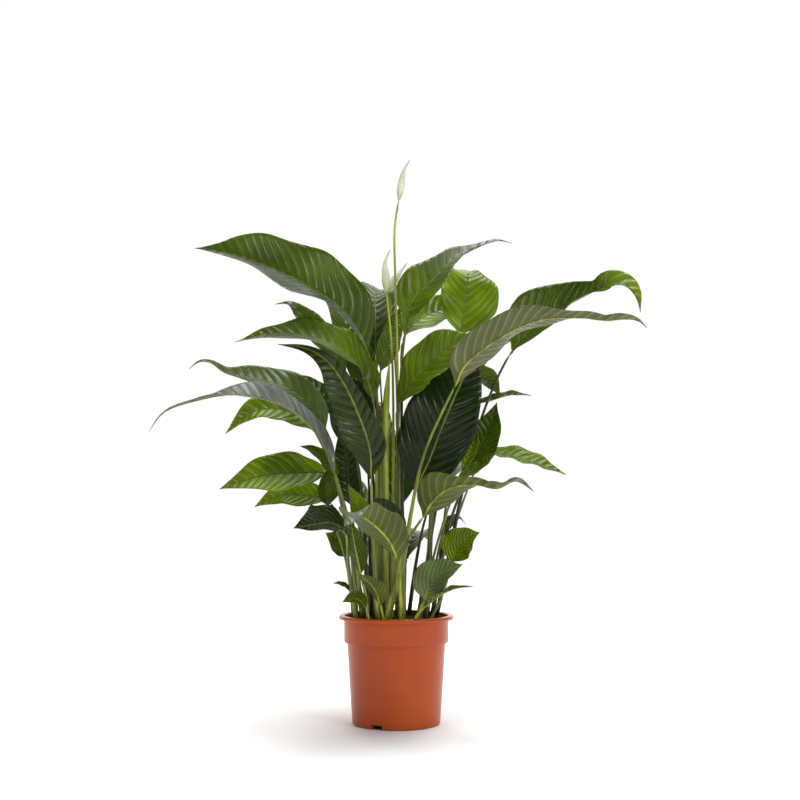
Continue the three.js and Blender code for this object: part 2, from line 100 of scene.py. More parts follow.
# colours, linear
# the dark and bright ends of the leaf tone mix; the tone is partly painted light and shade
LEAF_DARK = (0.007, 0.015, 0.001)
LEAF_BRIGHT = (0.17, 0.27, 0.001)
# painted sheen: a silvery grey for upper sides that catch light at a glancing angle
LEAF_PAINTED_SHEEN = (0.27, 0.29, 0.26)
LEAF_RIB = (0.14, 0.2, 0.02)
LEAF_VEIN_LIFT = (1.9, 1.7, 1.6)
LEAF_GLOW = (0.24, 0.4, 0.004)
UNDER_DARK = (0.02, 0.03, 0.001)
UNDER_BRIGHT = (0.17, 0.25, 0.004)
# grey for the underside, partly its own dull grey and partly painted sheen
UNDER_GREY_AND_SHEEN = (0.13, 0.135, 0.06)
UNDER_RIB = (0.16, 0.22, 0.04)
UNDER_VEIN_LIFT = (2.4, 2.2, 2.3)
STALK_DARK = (0.018, 0.03, 0.003)
STALK_BRIGHT = (0.33, 0.38, 0.03)
STALK_PATCH = (0.14, 0.2, 0.04)
SPATHE_CREAM = (0.66, 0.66, 0.45)
SPATHE_WHITE = (0.8, 0.8, 0.66)
SPATHE_NECK = (0.35, 0.47, 0.14)
SPATHE_EDGE = (0.3, 0.38, 0.08)
SPATHE_TIP = (0.33, 0.36, 0.22)
POT_DEEP = (0.40, 0.058, 0.003)
POT_LIGHT = (0.48, 0.078, 0.005)
POT_STREAK = (0.33, 0.045, 0.007)
SOIL_DARK = (0.012, 0.007, 0.004)
SOIL_LIGHT = (0.055, 0.03, 0.016)
SOIL_FIBRE = (0.12, 0.07, 0.04)
FLOOR_SHADE = (0.96, 0.96, 0.96)
FLOOR_LIGHT = (0.98, 0.98, 0.98)

# the studio, metres and watts; a sun's power is watts per square metre
FLOOR_SIZE = 30
WORLD_FILL = 0.16
SUN_TILT = (-8, 6)
SUN_SPREAD = 40
SUN_POWER = 3.0
SOFTBOXES = [
    dict(name="backdrop_glow", place=(0, 2.4, 1.2), target=(0, 0, 0.7), size=(4.0, 2.6), power=60),
    dict(name="front_left_softbox", place=(-1.5, -2.0, 2.2), target=(0, 0, 0.55), size=(0.5, 1.0),
         power=12),
    dict(name="front_right_softbox", place=(1.7, -2.1, 1.3), target=(0, 0, 0.4), size=(0.35, 1.3),
         power=24),
]
CAMERA_PLACE = (0.0067, -2.3, 0.410)
CAMERA_PITCH = 90 + 4.4
CAMERA_LENS = 56.2
CAMERA_SENSOR = 36


# ---- shader building ----
class Val:
    """A shader socket that can be used in Python arithmetic."""

    def __init__(self, graph, socket):
        self.graph = graph
        self.socket = socket

    def math(self, operation, *others):
        values = [self, *others]
        node = self.graph.node("ShaderNodeMath", {"operation": operation}, dict(enumerate(values)))
        return Val(self.graph, node.outputs[0])

    def __add__(self, other):
        return self.math("ADD", other)

    __radd__ = __add__

    def __sub__(self, other):
        return self.math("SUBTRACT", other)

    def __rsub__(self, other):
        return (self * -1) + other

    def __mul__(self, other):
        return self.math("MULTIPLY", other)

    __rmul__ = __mul__

    def __abs__(self):
        return self.math("ABSOLUTE")

    def smooth(self, low, high, start=0.0, end=1.0):
        """Eased change from start to end as the value goes from low to high."""
        node = self.graph.node(
            "ShaderNodeMapRange",
            {"interpolation_type": "SMOOTHSTEP"},
            {"Value": self, "From Min": low, "From Max": high, "To Min": start, "To Max": end},
        )
        return Val(self.graph, node.outputs[0])


class Graph:
    """One material's node tree, emptied and rebuilt."""

    def __init__(self, name):
        self.material = bpy.data.materials.new(name)
        self.material.use_nodes = True
        self.tree = self.material.node_tree
        self.tree.nodes.clear()

    def node(self, kind, settings=None, inputs=None):
        made = self.tree.nodes.new(kind)
        for key, value in (settings or {}).items():
            setattr(made, key, value)
        for key, value in (inputs or {}).items():
            if isinstance(value, Val):
                self.tree.links.new(value.socket, made.inputs[key])
            else:
                made.inputs[key].default_value = value
        return made

    def out(self, kind, settings=None, inputs=None, output=0):
        return Val(self, self.node(kind, settings, inputs).outputs[output])

    def mix(self, factor, a, b):
        settings = {"data_type": "RGBA", "clamp_factor": True}
        return self.out("ShaderNodeMix", settings, {0: factor, 6: paint(a), 7: paint(b)}, 2)

    def multiply(self, factor, a, b):
        settings = {"data_type": "RGBA", "blend_type": "MULTIPLY"}
        return self.out("ShaderNodeMix", settings, {0: factor, 6: paint(a), 7: paint(b)}, 2)

    def grey(self, value):
        """A colour with the same value in its three channels."""
        return self.out("ShaderNodeCombineColor", None, {0: value, 1: value, 2: value})

    def noise(self, scale, detail=2.0, stretch=(1, 1, 1), roughness=0.5):
        place = self.out("ShaderNodeTexCoord", None, None, "Object")
        place = self.out("ShaderNodeVectorMath", {"operation": "MULTIPLY"}, {0: place, 1: stretch})
        inputs = {"Vector": place, "Scale": scale, "Detail": detail, "Roughness": roughness}
        return self.out("ShaderNodeTexNoise", None, inputs)

    def trait(self, name):
        """A number stored on the piece's own points."""
        return self.out("ShaderNodeAttribute", {"attribute_name": name}, None, "Fac")

    def bump(self, height, distance):
        inputs = {"Height": height, "Distance": distance, "Strength": 1.0}
        return self.out("ShaderNodeBump", None, inputs, "Normal")

    def surface(self, inputs):
        shader = self.node("ShaderNodeBsdfPrincipled", None, inputs)
        return shader.outputs[0]

    def finish(self, surface):
        self.tree.links.new(surface, self.node("ShaderNodeOutputMaterial").inputs["Surface"])
        return self.material


def paint(value):
    """A three-part colour with its alpha added; a socket is passed on."""
    return value if isinstance(value, Val) else (*value, 1.0)


def vein_lines(g, along, aside, count, width):
    """Side veins that leave the midrib and bend to the tip: 1 on a vein, and the swell between."""
    place = (along - aside * 0.75 - aside * aside * 1.6) * count
    middle = abs(place.math("FRACT") - 0.5) * 2
    return middle.smooth(1 - width, 1.0), 1 - middle * middle


def blade_pattern(g):
    """Side veins, the swells between them, fine veins and the midrib, from the blade's own map.

    The map runs along the rib from 0 to 1, and sideways from 0.5 by the distance from the rib. Both
    are in blade lengths.
    """
    uv = g.out("ShaderNodeUVMap", {"uv_map": BLADE_MAP})
    parts = g.node("ShaderNodeSeparateXYZ", None, {0: uv})
    aside = abs(Val(g, parts.outputs[0]) - 0.5)
    along = Val(g, parts.outputs[1]) + (g.noise(18, 1) - 0.5) * 0.015
    count = g.trait("veins")
    side, swell = vein_lines(g, along, aside, count, 0.42)
    fine, _ = vein_lines(g, along, aside, count * 3, 0.9)
    midrib = aside.smooth(0.003, 0.010, 1, 0)
    return side, swell, fine, midrib


def glow_through(g, surface, normal):
    """Lets light from behind show softly through the leaf."""
    glow = g.node("ShaderNodeBsdfTranslucent", None, {"Color": paint(LEAF_GLOW), "Normal": normal})
    mixed = g.node("ShaderNodeMixShader", None, {0: 0.2})
    g.tree.links.new(surface, mixed.inputs[1])
    g.tree.links.new(glow.outputs[0], mixed.inputs[2])
    return g.finish(mixed.outputs[0])


def leaf_upper():
    g = Graph("leaf upper side")
    side, swell, fine, midrib = blade_pattern(g)
    tone = g.trait("tone")
    patches = g.noise(14, 3)
    # tone picks the green from dark to bright, partly painted light and shade
    green = g.mix(tone, LEAF_DARK, LEAF_BRIGHT)
    # painted sheen: the grey trait mixes a silvery grey into the upper side
    green = g.mix(g.trait("grey") * 0.8, green, LEAF_PAINTED_SHEEN)
    green = g.multiply(0.8, green, g.grey(patches.smooth(0.25, 0.75, 0.5, 1.4)))
    green = g.multiply(side * 0.6, green, LEAF_VEIN_LIFT)
    green = g.mix(midrib * 0.45, green, LEAF_RIB)
    height = swell + midrib * -0.5 + patches * 0.3
    normal = g.bump(height, 0.0015)
    shine = g.noise(60, 2).smooth(0.3, 0.7, 0.2, 0.32) + fine * 0.1
    top = g.surface({"Base Color": green, "Roughness": shine, "Normal": normal,
                     "Specular IOR Level": 0.34})
    return glow_through(g, top, normal)


def leaf_under():
    g = Graph("leaf underside")
    side, swell, _, midrib = blade_pattern(g)
    tone = g.trait("tone")
    patches = g.noise(14, 3)
    # tone picks the green from dark to bright, partly painted light and shade
    green = g.mix(tone, UNDER_DARK, UNDER_BRIGHT)
    # the grey trait mixes in a dull grey, partly the underside's own grey and partly painted sheen
    green = g.mix(g.trait("grey") * 0.8, green, UNDER_GREY_AND_SHEEN)
    green = g.multiply(0.8, green, g.grey(patches.smooth(0.25, 0.75, 0.6, 1.3)))
    green = g.multiply(side * 0.8, green, UNDER_VEIN_LIFT)
    green = g.mix(midrib * 0.5, green, UNDER_RIB)
    height = swell * -1 + midrib * 0.8 + patches * 0.3
    normal = g.bump(height, 0.0018)
    shine = patches.smooth(0.3, 0.7, 0.45, 0.6)
    top = g.surface({"Base Color": green, "Roughness": shine, "Normal": normal,
                     "Specular IOR Level": 0.3})
    return glow_through(g, top, normal)


def stalk_material():
    g = Graph("stalk")
    tone = g.trait("tone")
    streaks = g.noise(70, 3, (1, 1, 0.06))
    patches = g.noise(12, 2)
    # tone sets the stalk's green; on leaf stalks it carries painted shade deeper in the clump
    green = g.mix(tone, STALK_DARK, STALK_BRIGHT)
    green = g.multiply(0.9, green, g.grey(streaks.smooth(0.35, 0.65, 0.45, 1.35)))
    green = g.mix(patches.smooth(0.55, 0.8) * 0.35, green, STALK_PATCH)
    normal = g.bump(streaks, 0.0006)
    return g.finish(g.surface({"Base Color": green, "Roughness": 0.42, "Normal": normal}))


def spathe_material():
    g = Graph("spathe")
    uv = g.out("ShaderNodeUVMap", {"uv_map": BLADE_MAP})
    parts = g.node("ShaderNodeSeparateXYZ", None, {0: uv})
    across = Val(g, parts.outputs[0])
    along = Val(g, parts.outputs[1])
    edge = abs(across * 2 - 1)
    ribs = abs((across * 14).math("FRACT") - 0.5) * 2
    patches = g.noise(40, 2)
    white = g.mix(patches.smooth(0.3, 0.7), SPATHE_CREAM, SPATHE_WHITE)
    white = g.mix(along.smooth(0.0, 0.3, 0.75, 0.0), white, SPATHE_NECK)
    white = g.mix(edge.smooth(0.86, 1.0, 0.0, 0.75), white, SPATHE_EDGE)
    white = g.mix(along.smooth(0.8, 0.95, 0.0, 0.6), white, SPATHE_TIP)
    normal = g.bump(ribs * 0.6 + patches * 0.4, 0.0004)
    return g.finish(g.surface({"Base Color": white, "Roughness": 0.45, "Normal": normal}))


def pot_material():
    g = Graph("terracotta plastic")
    cloud = g.noise(9, 3)
    grain = g.noise(420, 2)
    streak = g.noise(30, 3, (1, 1, 0.08))
    colour = g.mix(cloud.smooth(0.3, 0.7), POT_DEEP, POT_LIGHT)
    colour = g.mix(streak.smooth(0.55, 0.8) * 0.25, colour, POT_STREAK)
    roughness = cloud.smooth(0.3, 0.7, 0.28, 0.36)
    normal = g.bump(grain * 0.5 + streak * 0.4, 0.00012)
    return g.finish(g.surface({"Base Color": colour, "Roughness": roughness, "Normal": normal,
                               "Specular IOR Level": 0.3}))


def soil_material():
    g = Graph("potting soil")
    lumps = g.noise(90, 5, roughness=0.7)
    fibres = g.noise(260, 4, (1, 0.3, 1))
    colour = g.mix(lumps.smooth(0.35, 0.65), SOIL_DARK, SOIL_LIGHT)
    colour = g.mix(fibres.smooth(0.62, 0.75) * 0.6, colour, SOIL_FIBRE)
    normal = g.bump(lumps + fibres * 0.4, 0.003)
    return g.finish(g.surface({"Base Color": colour, "Roughness": 0.92, "Normal": normal}))


def floor_material():
    g = Graph("studio floor")
    cloud = g.noise(0.6, 1)
    colour = g.mix(cloud, FLOOR_SHADE, FLOOR_LIGHT)
    return g.finish(g.surface({"Base Color": colour, "Roughness": 0.9}))


# ---- curves ----
def spline(points, samples):
    """Evenly spaced points on a smooth curve through the given ones (centripetal Catmull-Rom)."""
    fineness = 40
    pts = [Vector(p) for p in points]
    pts = [2 * pts[0] - pts[1], *pts, 2 * pts[-1] - pts[-2]]
    dense = []
    for a, b, c, d in zip(pts, pts[1:], pts[2:], pts[3:]):
        t1 = (b - a).length ** 0.5
        t2 = t1 + (c - b).length ** 0.5
        t3 = t2 + (d - c).length ** 0.5
        for k in range(fineness):
            t = t1 + (t2 - t1) * k / fineness
            ab = a.lerp(b, t / t1)
            bc = b.lerp(c, (t - t1) / (t2 - t1))
            cd = c.lerp(d, (t - t2) / (t3 - t2))
            abc = ab.lerp(bc, t / t2)
            bcd = bc.lerp(cd, (t - t1) / (t3 - t1))
            dense.append(abc.lerp(bcd, (t - t1) / (t2 - t1)))
    dense.append(pts[-2])
    lengths = [0.0]
    for p, q in zip(dense, dense[1:]):
        lengths.append(lengths[-1] + (q - p).length)
    even = []
    k = 0
    for i in range(samples):
        goal = lengths[-1] * i / (samples - 1)
        while k < len(dense) - 2 and lengths[k + 1] < goal:
            k += 1
        part = (goal - lengths[k]) / max(lengths[k + 1] - lengths[k], 1e-9)
        even.append(dense[k].lerp(dense[k + 1], part))
    return even, lengths[-1]


def graded(values, t):
    """The value at t in 0..1 of an evenly spaced list of numbers or vectors, blended in between."""
    last = len(values) - 1
    place = min(max(t, 0.0), 1.0) * last
    k = min(int(place), max(last - 1, 0))
    a, b = values[k], values[min(k + 1, last)]
    return a + (b - a) * (place - k)


class Rail:
    """A path with directions along, across and out of the upper side at each place on it."""

    def __init__(self, points, faces, samples=160):
        self.points, self.length = spline(points, samples)
        self.faces = [Vector(f).normalized() for f in faces]

    def at(self, t, face_t=None):
        last = len(self.points) - 1
        place = min(max(t, 0.0), 1.0) * last
        k = min(int(place), last - 1)
        point = self.points[k].lerp(self.points[k + 1], place - k)
        near = self.points[max(k - 1, 0)]
        far = self.points[min(k + 2, last)]
        along = (far - near).normalized()
        face = graded(self.faces, t if face_t is None else face_t)
        out = (face - along * face.dot(along)).normalized()
        return point, along, out.cross(along), out

    def nearest(self, target):
        target = Vector(target)
        best = min(range(len(self.points)), key=lambda k: (self.points[k] - target).length)
        return best / (len(self.points) - 1)


# ---- pieces ----
def skin(bm, across, along, place, material=0):
    """A grid laid over place(u, v), with its map in the piece's own UV layer; gives its points."""
    if not bm.loops.layers.uv.get(BLADE_MAP):
        bm.loops.layers.uv.new(BLADE_MAP)
    grid = bmesh.ops.create_grid(bm, x_segments=across, y_segments=along, size=0.5, calc_uvs=True)
    made = grid["verts"]
    for face in {f for v in made for f in v.link_faces}:
        face.material_index = material
        face.smooth = True
    for vert in made:
        vert.co = Vector(place(vert.co.x + 0.5, vert.co.y + 0.5)) * MM
    return made


def tube(bm, rail, radius, start, end, sides, steps, material, offset=0.0):
    """A closed round stalk along part of a rail, pointed at both ends; radius(v) in millimetres."""

    def place(u, v):
        t = start + (end - start) * v
        point, _, across, out = rail.at(t, 0.0)
        turn = 2 * math.pi * u
        size = 0 if v < 0.001 or v > 0.999 else radius(v)
        return point + (across * math.cos(turn) - out * math.sin(turn)) * size + out * offset * size

    made = skin(bm, sides, steps, place, material)
    bmesh.ops.remove_doubles(bm, verts=made, dist=1e-6)


def add_piece(bm, name, materials, body="root"):
    """Makes a piece of a finished shape and lets it ride on a body."""
    mesh = bpy.data.meshes.new(name)
    bmesh.ops.recalc_face_normals(bm, faces=bm.faces)
    bm.to_mesh(mesh)
    bm.free()
    for material in materials:
        mesh.materials.append(material)
    piece = bpy.data.objects.new(name, mesh)
    bpy.context.scene.collection.objects.link(piece)
    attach(piece, body)
    return piece


def lay_map(bm, across):
    """Moves the map of a blade sideways: across(u, v) gives the new u."""
    uv = bm.loops.layers.uv[BLADE_MAP]
    for face in bm.faces:
        for loop in face.loops:
            loop[uv].uv.x = across(*loop[uv].uv)


def store_trait(bm, name, value, stalk_value=None, plus_only=False):
    """Keeps a number on the points; several numbers run from the neck to the tip of the blade."""
    layer = bm.verts.layers.float.get(name) or bm.verts.layers.float.new(name)
    uv = bm.loops.layers.uv[BLADE_MAP]
    values = value if isinstance(value, tuple) else [value]
    for face in bm.faces:
        on_stalk = face.material_index == STALK and stalk_value is not None
        for loop in face.loops:
            off = plus_only and loop[uv].uv.x < 0.502
            on_blade = graded(values, loop[uv].uv.y) * (not off)
            loop.vert[layer] = stalk_value if on_stalk else on_blade


OUTLINE = [0.05, 0.52, 0.82, 0.96, 1.0, 0.97, 0.86, 0.68, 0.45, 0.2, 0.0]


def outline_at(t):
    """Share of the full half width from the neck to the drip tip."""
    last = len(OUTLINE) - 1
    place = min(max(t, 0.0), 0.9999) * last
    k = int(place)
    x = place - k
    a = OUTLINE[max(k - 1, 0)]
    b, c = OUTLINE[k], OUTLINE[k + 1]
    d = OUTLINE[min(k + 2, last)]
    smooth = b + 0.5 * x * (c - a + x * (2 * a - 5 * b + 4 * c - d + x * (3 * (b - c) + d - a)))
    return max(smooth, 0.0)


def shaded_stalk_tone(depth, chance):
    """Stalks in the middle of the clump are painted darker than the ones in front, as painted
    shade, with a random spread of tone.
    """
    return min(max(0.35 - depth * 0.006 + chance.uniform(-0.25, 0.25), 0.02), 0.9)


def make_leaf(leaf, number, materials):
    """One leaf with its stalk, its thin blade and the midrib under it."""
    chance = random.Random(number)
    root = (*leaf["root"], SOIL_TOP - ROOT_DEPTH)
    rib = leaf["rib"]
    rail = Rail([root, *leaf["stem"], *rib], [(0, 0, 1)])
    neck = rail.nearest(rib[0])
    rail.faces = [Vector(f).normalized() for f in leaf["faces"]]
    half = leaf["width"] / 2
    fold = math.radians(leaf.get("fold", USUAL_FOLD))
    length = rail.length * (1 - neck)
    ripples = [(chance.uniform(2.2, 3.6), chance.uniform(0, RIPPLE_TURN)) for _ in range(2)]

    def half_width(side, v):
        share = leaf.get("plus" if side > 0 else "minus", [1])
        return half * outline_at(v) * graded(share, v) + LEAST_HALF_WIDTH

    def place(u, v):
        side = 1 - 2 * u
        point, _, across, out = rail.at(neck + (1 - neck) * v, v)
        width = half_width(side, v)
        turns, phase = ripples[0 if side < 0 else 1]
        fade = min(1, 3 * v, 3 - 3 * v)
        ripple = EDGE_WAVE * half * side * side * math.sin(turns * RIPPLE_TURN * v + phase) * fade
        x = width * math.cos(fold) * side
        z = width * math.sin(fold) * abs(side) ** 1.3 + ripple
        return point + across * x + out * z

    bm = bmesh.new()
    long_blade = leaf["width"] >= LONG_BLADE_WIDTH
    columns, rows = LONG_BLADE_GRID if long_blade else SHORT_BLADE_GRID
    skin(bm, columns, rows, place, UPPER)
    lay_map(bm, lambda u, v: 0.5 + (1 - 2 * u) * half_width(1 - 2 * u, v) / length)
    bmesh.ops.triangulate(bm, faces=bm.faces[:], quad_method="FIXED")
    shell = bmesh.ops.solidify(bm, geom=bm.faces[:], thickness=BLADE_THICKNESS * MM)
    for face in shell["geom"]:
        if isinstance(face, bmesh.types.BMFace):
            face.material_index = UNDER
    girth = 1.0 if long_blade else SHORT_BLADE_GIRTH
    thick = STALK_RADIUS * girth
    thin = NECK_RADIUS * girth
    tube(bm, rail, lambda v: thick + (thin - thick) * v**0.7, 0.0, neck, 10, 22, STALK)
    tube(bm, rail, lambda v: thin * (1 - v) ** 0.6 + 0.2, neck * MIDRIB_SPAN, MIDRIB_SPAN, 8, 30,
         STALK, MIDRIB_SINK)
    # painted shade: the stalk is painted darker the deeper its root lies in the clump
    stem_tone = shaded_stalk_tone(leaf["root"][1], chance)
    # tone: the blade's green from dark to bright, partly painted light and shade; leaves in shadow
    # get a low tone
    store_trait(bm, "tone", leaf["tone"], leaf.get("stem_tone", stem_tone))
    # grey: silvery grey mixed into the blade, mostly painted sheen; grey_plus puts it on the plus
    # half only
    grey = leaf.get("grey", leaf.get("grey_plus", 0.0))
    store_trait(bm, "grey", grey, 0.0, "grey_plus" in leaf)
    store_trait(bm, "veins", max(FEWEST_VEINS, round(length / VEIN_SPACING)))
    piece = add_piece(bm, leaf["name"] + "_grown", materials)
    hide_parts(leaf["name"])
